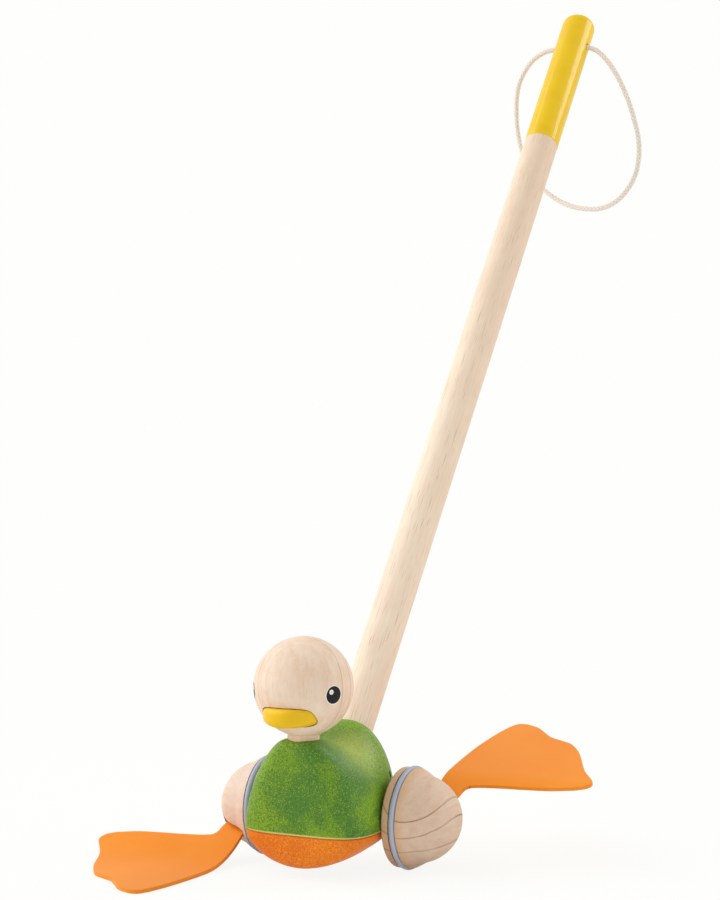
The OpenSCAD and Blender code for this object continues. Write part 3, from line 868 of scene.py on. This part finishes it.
@dataclass
class DuckBody:
    """The green body above the seam and the orange belly below it."""

    half_w: float = 41.3 * MM
    widest_y: float = -25 * MM
    front_l: float = 34 * MM
    back_l: float = 55 * MM
    seam_z: float = 26.5 * MM
    top_h: float = 55.5 * MM
    hump_h: float = 5 * MM
    hump_y: float = 3 * MM
    hump_l: float = 16 * MM
    saddle_d: float = 4.5 * MM
    saddle_y: float = -24 * MM
    saddle_l: float = 10 * MM
    ridge_w: float = 8.5 * MM
    crest_w: float = 1 * MM
    ridge_start: float = 0.62
    belly_h: float = 20.5 * MM
    deepest_y: float = -50 * MM
    belly_inset: float = 0.8 * MM
    lip: float = 1.1 * MM
    belly_lip: float = 0.9 * MM
    side_power: float = 4.0
    tail_power: float = 2.2
    top_power: float = 5.0
    front_power: float = 24.0
    breast_section: float = 1.65
    back_section: float = 2.2
    belly_power: float = 1.9
    breast_power: float = 3.5
    keel_power: float = 1.4
    keel_w: float = 0.1 * MM
    neck_hole_r: float = 9.65 * MM
    neck_hole_h: float = 36 * MM
    neck_hole_top: float = 90 * MM
    pin_hole_r: float = 2.05 * MM
    flange_hole_r: float = 7.5 * MM
    flange_hole_l: float = 3.995 * MM
    stick_gap: float = 0.12 * MM
    stick_floor: float = 10.1 * MM
    stick_hole_l: float = 80 * MM
    end_rows: int = 30
    end_share: float = 0.05
    rows: int = 64
    around: int = 60
    across: int = 16
    lip_steps: int = 7

    @property
    def breast_y(self) -> float:
        """Gives the foremost place of the body."""
        return self.widest_y - self.front_l

    @property
    def tail_y(self) -> float:
        """Gives the rearmost place of the body."""
        return self.widest_y + self.back_l

    def stations(self) -> Array:
        """Gives places along Y from the breast to the tail, crowded towards both ends."""
        crowd = np.geomspace(1e-9, self.end_share, self.end_rows)
        front, back = self.breast_y + crowd * self.front_l, self.tail_y - crowd[::-1] * self.back_l
        return np.concatenate([front, np.linspace(front[-1], back[0], self.rows)[1:-1], back])

    def taper(self, y: Array, front: float, back: float) -> Array:
        """Gives a rounded fall from 1 at the widest place to 0 at the breast and at the tail.

        Args:
            y: Places along the body.
            front, back: Powers of the fall to the breast and of that to the tail.

        Returns:
            The share that is left at each place.
        """
        gone = np.abs(y - self.widest_y)
        ahead, behind = rounding(gone / self.front_l, front), rounding(gone / self.back_l, back)
        return np.where(y < self.widest_y, ahead, behind)

    def width(self, y: Array) -> Array:
        """Gives the body's half width at each station."""
        return self.half_w * self.taper(y, self.side_power, self.tail_power)

    def top(self, y: Array) -> Array:
        """Gives the body's height above the seam: the hump and the saddle before it are bell curves."""
        hump = self.hump_h * np.exp(-((y - self.hump_y) / self.hump_l) ** 2)
        saddle = self.saddle_d * np.exp(-((y - self.saddle_y) / self.saddle_l) ** 2)
        return (self.top_h + hump - saddle) * self.taper(y, self.front_power, self.top_power)

    def breast(self, y: Array) -> Array:
        """Rises smoothly from 0 at the widest place to 1 under the neck and ahead of it."""
        t = np.clip((self.widest_y - y) / self.front_l / self.ridge_start, 0, 1)
        return t * t * (3 - 2 * t)

    def depth(self, y: Array) -> Array:
        """Gives the belly's depth below the seam, with a rounded fall to both ends."""
        gone = np.abs(y - self.deepest_y)
        ahead = rounding(gone / (self.deepest_y - self.breast_y), self.breast_power)
        behind = rounding(gone / (self.tail_y - self.deepest_y), self.keel_power)
        return self.belly_h * np.where(y < self.deepest_y, ahead, behind)

    def rings(self, width: Array, rise: Array, power: Array, crest: Array, lip: float, up: int) -> Array:
        """Gives rounded sections over a flat seam, each with a level crest and a rounded lip at the seam.

        A flank is a superellipse: its X goes from the half width to the crest's by cosine, and its Z up to
        the rise by sine, each to 2 over the power. Below the lip a quarter circle takes its place.

        Args:
            width: Half width of each section.
            rise: Height of each section.
            power: Power of each section's superellipse.
            crest: Half width of each section's level top.
            lip: Radius of the lip.
            up: 1 above the seam and -1 below it.

        Returns:
            Points by section, round each section.
        """
        y, w, h = self.stations()[:, None], width[:, None], np.maximum(rise, LEAST)[:, None]
        p, c = power[:, None], np.minimum(crest[:, None], 0.7 * w)
        r = np.minimum(lip, np.minimum(0.3 * w, 0.3 * h))
        start = np.arcsin(np.clip((r / h) ** (p / 2), 0, 1))
        a = start + (np.pi / 2 - start) * np.linspace(0, 1, self.around)[None]
        x = c + (w - c) * np.maximum(np.cos(a), 0) ** (2 / p)
        z = h * np.sin(a) ** (2 / p)
        level = np.linspace(1, -1, self.across)[None, 1:-1] * c
        turn = np.linspace(0, np.pi / 2, self.lip_steps)[None, :-1]
        half_x = np.concatenate([x[:, :1] - r + r * np.sin(turn), x], 1)
        half_z = np.concatenate([r - r * np.cos(turn), z], 1)
        xs = np.concatenate([half_x, level, -half_x[:, ::-1]], 1)
        zs = np.concatenate([half_z, h + 0 * level, half_z[:, ::-1]], 1)
        return np.stack([xs, y + 0 * xs, self.seam_z + up * zs], -1)

    def holes(self) -> list[bpy.types.Object]:
        """Makes the bars that cut the body's holes: for the neck, the pin, both bushes and the stick.

        Returns:
            The bars.
        """
        neck = np.array([*middle_of("neck_dowel")[:2], self.seam_z])
        pin, axle = middle_of("stick_pin"), middle_of("axle")
        side = np.array([self.half_w * 2, 0, 0])
        flange = np.array([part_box("axle_bush_left")[1][0] - self.flange_hole_l, 0, 0])
        stick = PushStick()
        return [bar(neck + [0, 0, self.neck_hole_h], neck + [0, 0, self.neck_hole_top], self.neck_hole_r),
                bar(pin - side, pin + side, self.pin_hole_r),
                bar(axle + flange, axle + side, self.flange_hole_r),
                bar(axle - flange, axle - side, self.flange_hole_r),
                bar(stick.at(-self.stick_floor), stick.at(self.stick_hole_l),
                    stick.radius + self.stick_gap, 96)]

    def build(self) -> None:
        """Makes the body with its holes and the belly, and dresses them."""
        y = self.stations()
        width = self.width(y)
        breast = self.breast(y)
        power = self.back_section + (self.breast_section - self.back_section) * breast
        crest = self.crest_w + (self.ridge_w - self.crest_w) * breast
        shell = loft("body_green", self.rings(width, self.top(y), power, crest, self.lip, 1))
        carve(shell, *self.holes())
        # The offset below places the green's dim clouds as painted shade on the breast and paler clouds as
        # painted light on the flank
        green = SpeckledStain("green_stain", tone(48, 94, 22), tone(128, 167, 26), tone(148, 182, 40),
                              tone(172, 199, 78), tone(206, 212, 120), self.seam_z, tone(74, 126, 40),
                              # The place given below is a painted highlight on the saddle
                              (0.074, -0.338, 0.175), painted_highlight_at=(0.02, -0.022, 0.0735), painted_highlight_reach=0.026)
        dress(shell, green.material(), "duck", ("body_shell",))
        keel = self.rings(np.maximum(width - self.belly_inset, LEAST), self.depth(y),
                          np.full(len(y), self.belly_power), np.full(len(y), self.keel_w), self.belly_lip, -1)
        # Its darker lip tone paints shade along the belly's seam
        orange = SpeckledStain("orange_stain", tone(206, 92, 4), tone(243, 133, 6), tone(246, 154, 24),
                               tone(250, 188, 78), tone(190, 84, 10), self.seam_z, tone(232, 116, 4))
        dress(loft("belly_orange", keel), orange.material(), "duck", ("belly",))


@dataclass
class PushStick:
    """The leaning stick of bare wood, with its glossy painted grip."""

    pin: Point = (0.0, -0.5 * MM, 56 * MM)
    lean: float = math.radians(38.4)
    radius: float = 12.2 * MM
    foot_l: float = 10 * MM
    length: float = 651 * MM
    grip_l: float = 129 * MM
    grip_lip: float = 0.2 * MM
    paint: float = 0.15 * MM
    top_r: float = 8 * MM
    hole_down: float = 28 * MM
    hole_r: float = 2.4 * MM
    sides: int = 128

    @property
    def up(self) -> Array:
        """Gives the way up the stick."""
        return np.array([0, math.sin(self.lean), math.cos(self.lean)])

    def at(self, s: float) -> Array:
        """Gives the point of the stick's axis at a distance from its cross pin."""
        return np.array(self.pin) + s * self.up

    @property
    def hole(self) -> Array:
        """Gives the middle of the cord's hole."""
        return self.at(self.length - self.hole_down)

    def build(self) -> None:
        """Makes the wood and the painted grip, with the cord's hole through the grip."""
        place = upright(np.array(self.pin), self.up)
        grip_from = self.length - self.grip_l
        wood_to = grip_from + 2 * self.grip_lip
        wood = np.array([[LEAST, -self.foot_l], [self.radius, -self.foot_l],
                         [self.radius, wood_to], [LEAST, wood_to]])
        shaft = revolve("stick_wood", wood, place, self.sides)
        # Its side tone paints shade on the stick's +X side, away from the key lamp, growing towards the grip
        grain = BareWood("stick_grain", self.pin, (self.lean, 0, 0), pith=(0.03, -0.05), ring_gap=0.005,
                         ring_depth=0.12, pore_depth=0.42, pore_draw=0.028, pale=tone(249, 234, 212),
                         warm=tone(238, 213, 192), late=tone(172, 116, 78), flush_and_shade=tone(218, 188, 160),
                         flush_and_shade_way=(25, 0, 1.25), flush_and_shade_from=-0.05, flush_and_shade_full=1.1)
        dress(shaft, grain.material(), "duck", ("stick",))
        a = np.linspace(0, np.pi / 2, 20)
        outer = self.radius + self.paint
        edge = np.stack([outer - self.top_r + self.top_r * np.cos(a),
                         self.length - self.top_r + self.top_r * np.sin(a)], -1)
        lip = np.array([[LEAST, grip_from], [self.radius, grip_from], [outer, grip_from + self.grip_lip]])
        profile = np.concatenate([lip, edge, [[LEAST, self.length]]])
        grip = revolve("grip_paint", profile, place, self.sides)
        across = np.array([2 * self.radius, 0, 0])
        carve(grip, bar(self.hole - across, self.hole + across, self.hole_r))
        paint = GlossPaint("yellow_gloss", tone(234, 194, 0), tone(224, 178, 0))
        dress(grip, paint.material(), "duck", ("stick",))


@dataclass
class DuckHead:
    """The head ball with its eyes and its beak."""

    radius: float = 29.5 * MM
    turn: float = math.radians(2.5)
    beak_drop: float = 15.3 * MM
    beak_r: float = 16.8 * MM
    beak_t: float = 11 * MM
    beak_show: float = 7.7 * MM
    beak_straight: float = 4.6 * MM
    beak_gap: float = 0.45 * MM
    tip_power: float = 2.4
    lower_gain: float = 2.6
    upper_gain: float = 6.6
    lower_power: float = 2.5
    upper_power: float = 3.6
    neck_r: float = 9.6 * MM
    neck_up: float = 10 * MM
    eye_side: float = math.radians(61)
    eye_low: float = math.radians(-3.9)
    eye_shift: float = 0.02
    eye_r: float = 5.2 * MM
    edge_w: float = 0.45 * MM
    light_r: float = 1.45 * MM
    light_off: float = 0.062
    dot_r: float = 0.7 * MM
    ink_t: float = 0.03 * MM
    ink_deep: float = 0.1 * MM

    def __post_init__(self) -> None:
        """Finds the head's middle and the beak's tip in the frame."""
        _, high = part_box("head")
        neck = middle_of("neck_dowel")
        self.middle = np.array([neck[0], neck[1], high[2] - self.radius])
        ahead = math.sqrt(self.radius ** 2 - self.beak_drop ** 2) + self.beak_show
        self.facing = np.array([math.sin(self.turn), -math.cos(self.turn), 0.0])
        self.aside = np.array([math.cos(self.turn), math.sin(self.turn), 0.0])
        self.tip = self.middle + self.facing * ahead - [0, 0, self.beak_drop]

    def ball(self) -> bpy.types.Object:
        """Makes the ball with the beak's slot and the neck's hole."""
        a = np.linspace(1e-4, np.pi - 1e-4, 120)
        profile = np.stack([self.radius * np.sin(a), -self.radius * np.cos(a)], -1)
        ball = revolve("head_ball", profile, Placing(self.middle, np.eye(3)), 160)
        neck = bar(self.middle - [0, 0, 2 * self.radius], self.middle - [0, 0, self.neck_up], self.neck_r)
        return carve(ball, self.tongue("slot_room", self.beak_gap), neck)

    def tongue(self, name: str, gap: float) -> bpy.types.Object:
        """Makes the flat tongue with a round end, which is the beak and, with a gap, the room for it.

        At a distance s behind the tip the half width follows the circle of the end, and the half
        thickness rises over the rounded edge. Each section is a superellipse, flatter above than below.

        Args:
            name: The piece's name.
            gap: How far it stands out from the beak.

        Returns:
            The tongue.
        """
        r, t = self.beak_r + gap, self.beak_t / 2 + gap
        length = r + self.beak_straight
        s = np.concatenate([np.geomspace(1e-8, 0.4 * MM, 18), np.linspace(0.6 * MM, length, 46)])
        behind = np.minimum(s, r)
        w = np.sqrt(r ** 2 - (r - behind) ** 2)
        h = t * rounding(1 - np.minimum(s / (0.8 * t), 1), 2.5)
        a = once_round(120)[None]
        cos, sin = np.cos(a), np.sin(a)
        below = self.tip_power + self.lower_gain * np.minimum(s / r, 1)
        above = self.tip_power + self.upper_gain * np.minimum(s / (0.6 * r), 1)
        side = 2 / np.where(sin > 0, above[:, None], below[:, None])
        rise = 2 / np.where(sin > 0, self.upper_power, self.lower_power)
        x = w[:, None] * np.sign(cos) * np.abs(cos) ** side
        z = h[:, None] * np.sign(sin) * np.abs(sin) ** rise
        tip = self.tip + (gap - s[:, None, None]) * self.facing
        return loft(name, tip + x[..., None] * self.aside + z[..., None] * np.array([0, 0, 1.0]))

    def cap(self, name: str, toward: Array, radius: float, lift: float) -> bpy.types.Object:
        """Makes a thin round print on the ball: its outer skin, and an inner one just under the wood.

        Args:
            name: The print's name.
            toward: The way from the ball's middle to the print's.
            radius: The print's radius along the ball.
            lift: How far the ink stands on the wood.

        Returns:
            The print.
        """
        out = np.linspace(1e-4, 1, 12)
        a = np.concatenate([out, out[::-1]]) * radius / self.radius
        skin = self.radius + np.repeat([lift, -self.ink_deep], len(out))
        profile = np.stack([skin * np.sin(a), skin * np.cos(a)], -1)
        return revolve(name, profile, upright(self.middle, toward), 72)

    def eyes(self) -> None:
        """Prints both eyes: a white edge, the black round and a small light with a bare middle."""
        white = PrintedInk("white_ink", tone(246, 243, 238), tone(232, 226, 216)).material()
        black = PrintedInk("black_ink", tone(16, 14, 17), tone(30, 27, 30), 0.3).material()
        bare = PrintedInk("bare_dot", tone(226, 205, 188), tone(214, 188, 166), 0.5).material()
        for side in Side:
            eye = self.look(side.value * self.eye_side, self.eye_low)
            light = self.look(side.value * (self.eye_side - self.light_off), self.eye_low + self.light_off)
            prints = (("edge", eye, self.eye_r + self.edge_w, white), ("round", eye, self.eye_r, black),
                      ("light", light, self.light_r, white), ("dot", light, self.dot_r, bare))
            for layer, (name, toward, radius, ink) in enumerate(prints, 1):
                cap = self.cap(f"eye_{name}_{side.word}", toward, radius, layer * self.ink_t)
                dress(cap, ink, "duck")

    def look(self, side: float, up: float) -> Array:
        """Gives the way from the ball's middle to a print at an angle to the side and up."""
        turn = self.turn + self.eye_shift + side
        return np.array([math.sin(turn) * math.cos(up), -math.cos(turn) * math.cos(up), math.sin(up)])

    def build(self) -> None:
        """Makes and dresses the head's pieces."""
        wood = BareWood("head_wood", tuple(self.middle), (0.08, 0.12, 0), pith=(0.0172, -0.0459),
                        ring_gap=0.0085, ring_depth=0.4, ring_share=0.7, wander=0.002, pore_depth=0.18,
                        pale=tone(242, 222, 203), warm=tone(228, 195, 166))
        dress(self.ball(), wood.material(), "duck", ("head",))
        yellow = GlossPaint("beak_gloss", tone(238, 194, 0), tone(226, 176, 0))
        dress(self.tongue("beak_tongue", 0.0), yellow.material(), "duck", ("beak",))
        self.eyes()


@dataclass
class Wheel:
    """One domed wheel with its rubber ring and its webbed foot.

    The phase is the foot's turn about the axle. The foot bends by the angle bend round the radius bend_r,
    up where way is 1 and down where it is -1.
    """

    side: Side
    phase: float
    bend: float
    bend_r: float
    way: int
    inner_x: float = 41.75 * MM
    ring_x: float = 48.75 * MM
    foot_of_dome_x: float = 59.95 * MM
    wheel_r: float = 30 * MM
    dome_r: float = 25.4 * MM
    dome_l: float = 19.2 * MM
    dome_back: float = 8 * MM
    edge_r: float = 1.5 * MM
    tyre_r: float = 31 * MM
    ring_t: float = 3.6 * MM
    groove_gap: float = 0.6 * MM
    foot_t: float = 2.2 * MM
    root_w: float = 17 * MM
    root_depth: float = 13 * MM
    splay: float = math.radians(22)
    bend_u: float = 62.45 * MM
    bend_v: float = 26.1155 * MM
    slot_gap: float = 0.2 * MM
    slot_spare: float = 1.0 * MM
    slot_ease: float = 2.6 * MM
    bead_gap: float = 0.5 * MM
    sway: float = 0.15
    straight_l: float = 2 * MM
    root_short: float = 0.1 * MM
    foot_edge: float = 0.75 * MM
    bevel_from: float = math.radians(50)
    blend_from: float = -1 * MM
    blend_to: float = 9 * MM
    around: int = 144
    ring_sides: int = 28
    foot_rows: int = 40
    foot_cols: int = 66
    # Outline of the flat foot in millimetres, from the middle of its bending line
    inner_side: tuple = ((-8.3, 24), (-8.5, 44), (-8, 65), (-5.5, 89), (-2.5, 104))
    toe_edge: tuple = (
        (-2.5, 104), (0.5, 110.5), (5, 112), (10, 110.5), (17, 106.5), (25, 98), (32, 91), (41, 86.5),
        (48, 82.5), (54, 75.5), (59, 68), (64, 58.5), (68.5, 49), (74, 38), (80.5, 28.5), (85, 21.5),
        (83.5, 16), (77, 12.5))
    outer_side: tuple = ((10, 4.2), (17, 6.6), (31, 7.8), (46, 8.5), (62, 9.6), (77, 12.5))

    def __post_init__(self) -> None:
        """Finds the foot's axes, X out along the axle and Y along the foot, and the wheel's, with Z out."""
        s = self.side.value
        along = np.array([0, s * math.cos(self.phase), s * math.sin(self.phase)])
        out = np.array([float(s), 0, 0])
        upper = np.cross(out, along)
        self.place = Placing(middle_of("axle"), np.stack([out, along, upper]))
        self.turned = Placing(middle_of("axle"), np.stack([along, upper, out]))

    def profile(self) -> Array:
        """Gives the wheel's half section: face, rounded rim, ring's groove, shoulder and dome.

        The shoulder falls from the rim to the dome by a line with some cosine in it. The dome is part of
        an ellipse about a middle that lies behind the shoulder's foot.

        Returns:
            Radius and distance along the axle.
        """
        a = np.linspace(0, np.pi / 2, 9)
        rim = np.stack([self.wheel_r - self.edge_r + self.edge_r * np.sin(a),
                        self.inner_x + self.edge_r - self.edge_r * np.cos(a)], -1)
        groove_r = self.ring_t / 2 + self.groove_gap
        deep = self.tyre_r - self.ring_t / 2
        start = math.acos((self.wheel_r - deep) / groove_r)
        b = np.linspace(start, 2 * np.pi - start, 26)
        groove = np.stack([deep + groove_r * np.cos(b), self.ring_x - groove_r * np.sin(b)], -1)
        bead = self.ring_x + self.ring_t / 2 + self.bead_gap
        t = np.linspace(0, 1, 28)
        fall = self.sway * (1 - np.cos(np.pi * t)) + (1 - 2 * self.sway) * t
        shoulder = np.stack([self.wheel_r + (self.dome_r - self.wheel_r) * fall,
                             bead + (self.foot_of_dome_x - bead) * t], -1)
        reach = self.dome_back + self.dome_l
        start = math.asin(self.dome_back / reach)
        c = np.linspace(start, np.pi / 2 - 1e-4, 56)[1:]
        dome = np.stack([self.dome_r / math.cos(start) * np.cos(c),
                         self.foot_of_dome_x - self.dome_back + reach * np.sin(c)], -1)
        return np.concatenate([[[LEAST, self.inner_x]], rim, groove, shoulder, dome])

    def slot(self) -> bpy.types.Object:
        """Makes the room that the foot's slot takes in the wheel, with its upper and outer side eased."""
        half = self.root_w / 2 + self.slot_spare
        far = half + self.slot_ease
        thick = self.foot_t / 2 + self.slot_gap
        low, high = -self.root_depth, self.dome_r
        corners = np.array([[-half, low], [far, low], [far, high], [-half, high]])
        plan = corners @ np.stack(self.bend_axes()) + [self.bend_u, self.bend_v]
        rings = [np.column_stack([plan, np.full(4, z)]) for z in (-thick, thick + self.slot_ease)]
        return loft("slot", self.place.put(np.array(rings)))

    def bend_axes(self) -> tuple[Array, Array]:
        """Gives the ways along the bending line and out of the slot, in the foot's plane."""
        across = np.array([math.cos(self.splay), -math.sin(self.splay)])
        return across, np.array([math.sin(self.splay), math.cos(self.splay)])

    def foot_flat(self) -> Array:
        """Lays out the flat foot in rows from its root to its toes.

        The blade is a Coons patch: it blends its two sides and its toe edge. The root is the straight
        tab below the bending line.

        Returns:
            Places in the foot's plane from the middle of the bending line.
        """
        rows, cols = self.foot_rows, self.foot_cols
        across, out = self.bend_axes()
        first, last = -self.root_w / 2 * across, self.root_w / 2 * across
        inner = spline(np.concatenate([[first], np.array(self.inner_side) * MM]), rows)[:, None]
        outer = spline(np.concatenate([[last], np.array(self.outer_side) * MM]), rows)[:, None]
        toes = spline(np.array(self.toe_edge) * MM, cols)[None]
        v = np.linspace(0, 1, cols)[None, :, None]
        w = np.linspace(0, 1, rows)[:, None, None]
        blade = (1 - v) * inner + v * outer + w * (toes - (1 - v) * toes[:, :1] - v * toes[:, -1:])
        down = np.linspace(-self.root_depth + self.root_short, 0, 9)[:-1, None, None]
        root = (1 - v) * first + v * last + down * out
        return np.concatenate([root, blade])

    def foot_bent(self, flat: Array) -> Array:
        """Bends the flat foot round an axle-wise roll after a straight start.

        Args:
            flat: Places in the foot's plane.

        Returns:
            Places on the wheel's own axes.
        """
        u, v = self.bend_u + flat[..., 0], self.bend_v + flat[..., 1]
        straight = self.bend_v + self.root_w / 2 * math.sin(self.splay) + self.straight_l
        gone = np.maximum(0, v - straight)
        a = np.minimum(self.bend, gone / self.bend_r)
        rest = gone - self.bend_r * a
        out = np.minimum(v, straight) + self.bend_r * np.sin(a) + rest * np.cos(a)
        rise = self.bend_r * (1 - np.cos(a)) + rest * np.sin(a)
        return np.stack([u, out, self.way * rise], -1)

    def foot(self) -> None:
        """Makes and dresses the rubber foot with rounded edges, shaped bent across its joint."""
        word = self.side.word
        flat = self.foot_flat()
        points = self.place.put(self.foot_bent(flat)).reshape(-1, 3)
        piece = new_piece(f"foot_web_{word}", points, grid_quads(*flat.shape[:2], False).tolist())
        wall = piece.modifiers.new("wall", "SOLIDIFY")
        wall.thickness = self.foot_t
        wall.offset = 0
        edge = piece.modifiers.new("edge", "BEVEL")
        edge.width = self.foot_edge
        edge.segments = 4
        edge.limit_method = "ANGLE"
        edge.angle_limit = self.bevel_from
        settle(piece)
        rubber = SoftRubber("foot_rubber", tone(241, 139, 20), tone(246, 152, 42), 0.5)
        _, out = self.bend_axes()
        line = np.array([self.bend_u, self.bend_v])
        reach = (self.blend_from, self.blend_to)
        start, end = (self.place.put(np.append(line + out * d, 0.0)) for d in reach)
        piece.data.materials.append(rubber.material())
        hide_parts(f"foot_{word}", f"foot_root_{word}")
        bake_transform(piece)
        log.info("%s bends from wheel_set to foot_%s", piece.name, word)

    def ring(self) -> bpy.types.Object:
        """Makes the rubber ring: a round section carried round the axle."""
        a, b = once_round(self.around)[:, None], once_round(self.ring_sides)[None]
        half = self.ring_t / 2
        r = self.tyre_r - half + half * np.cos(b)
        local = np.stack([r * np.cos(a), r * np.sin(a), self.ring_x + half * np.sin(b) + 0 * a], -1)
        points = self.turned.put(local).reshape(-1, 3)
        quads = grid_quads(self.around + 1, self.ring_sides, True) % len(points)
        if enclosed(points, quads) < 0:
            quads = quads[:, ::-1]
        return new_piece(f"tyre_ring_{self.side.word}", points, quads.tolist())

    def build(self, wood: BareWood, rubber: bpy.types.Material) -> None:
        """Makes and dresses the wheel, its ring and its foot.

        Args:
            wood: Finish of the wheel.
            rubber: Finish of the ring.
        """
        word = self.side.word
        wheel = carve(revolve(f"wheel_dome_{word}", self.profile(), self.turned, self.around), self.slot())
        dress(wheel, wood.material(), "wheel_set", (f"wheel_{word}",))
        dress(self.ring(), rubber, "wheel_set", (f"tyre_{word}",))
        self.foot()


@dataclass
class WheelSet:
    """Both wheels on their axle."""

    left_phase: float = math.radians(30.5)
    right_phase: float = math.radians(33)
    rear_droop: float = math.radians(20)
    rear_bend_r: float = 50 * MM
    front_bend_r: float = 77.19 * MM

    def build(self) -> None:
        """Makes both wheels."""
        rubber = SoftRubber("ring_rubber", tone(172, 181, 202), tone(192, 198, 212), 0.36).material()
        half = math.pi / 2
        left = BareWood("left_wheel_wood", (0.0573, 0, 0.0519), (half, 0, 0), pith=(0, 0), ring_gap=0.0098,
                        ring_start=50.18, ring_depth=0.9, ring_share=0.7, wander=0.003, pore_depth=0.15,
                        pale=tone(230, 204, 182), warm=tone(214, 180, 154),
                        flush_and_shade=tone(214, 174, 132), flush_and_shade_from=0.0, flush_and_shade_full=0.006)
        right = BareWood("right_wheel_wood", (-0.05, 0, -0.03), (half, 0.3, 0), pith=(0, 0), ring_gap=0.009,
                         ring_depth=0.2, ring_share=0.25, pore_depth=0.15, pale=tone(236, 218, 204),
                         warm=tone(223, 194, 172))
        Wheel(Side.LEFT, self.left_phase, self.rear_droop, self.rear_bend_r, -1).build(left, rubber)
        Wheel(Side.RIGHT, self.right_phase, self.right_phase, self.front_bend_r, 1).build(right, rubber)


def dress_nodes() -> None:
    """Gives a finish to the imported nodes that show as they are."""
    dowel = BareWood("dowel_wood", pith=(0.02, -0.06), ring_depth=0.15, pore_depth=0.5).material()
    nylon = NaturalNylon().material()
    steel = DrawnSteel().material()
    finishes = {"neck_dowel": dowel, "stick_pin": dowel, "belly_dowel_front": dowel,
                "belly_dowel_rear": dowel, "axle_bush_left": nylon, "axle_bush_right": nylon, "axle": steel}
    for node, material in finishes.items():
        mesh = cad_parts[node].data
        mesh.materials.clear()
        mesh.materials.append(material)


def main() -> None:
    """Builds the scene in order."""
    logging.basicConfig(level=logging.INFO, format="%(name)s: %(message)s")
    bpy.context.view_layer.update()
    bpy.context.scene.view_settings.view_transform = "Standard"
    studio = Studio()
    studio.camera()
    stick = PushStick()
    WristCord(hole=stick.hole).build()
    DuckBody().build()
    stick.build()
    DuckHead().build()
    WheelSet().build()
    dress_nodes()
    studio.light()
    studio.floor()


if __name__ == "__main__":
    main()
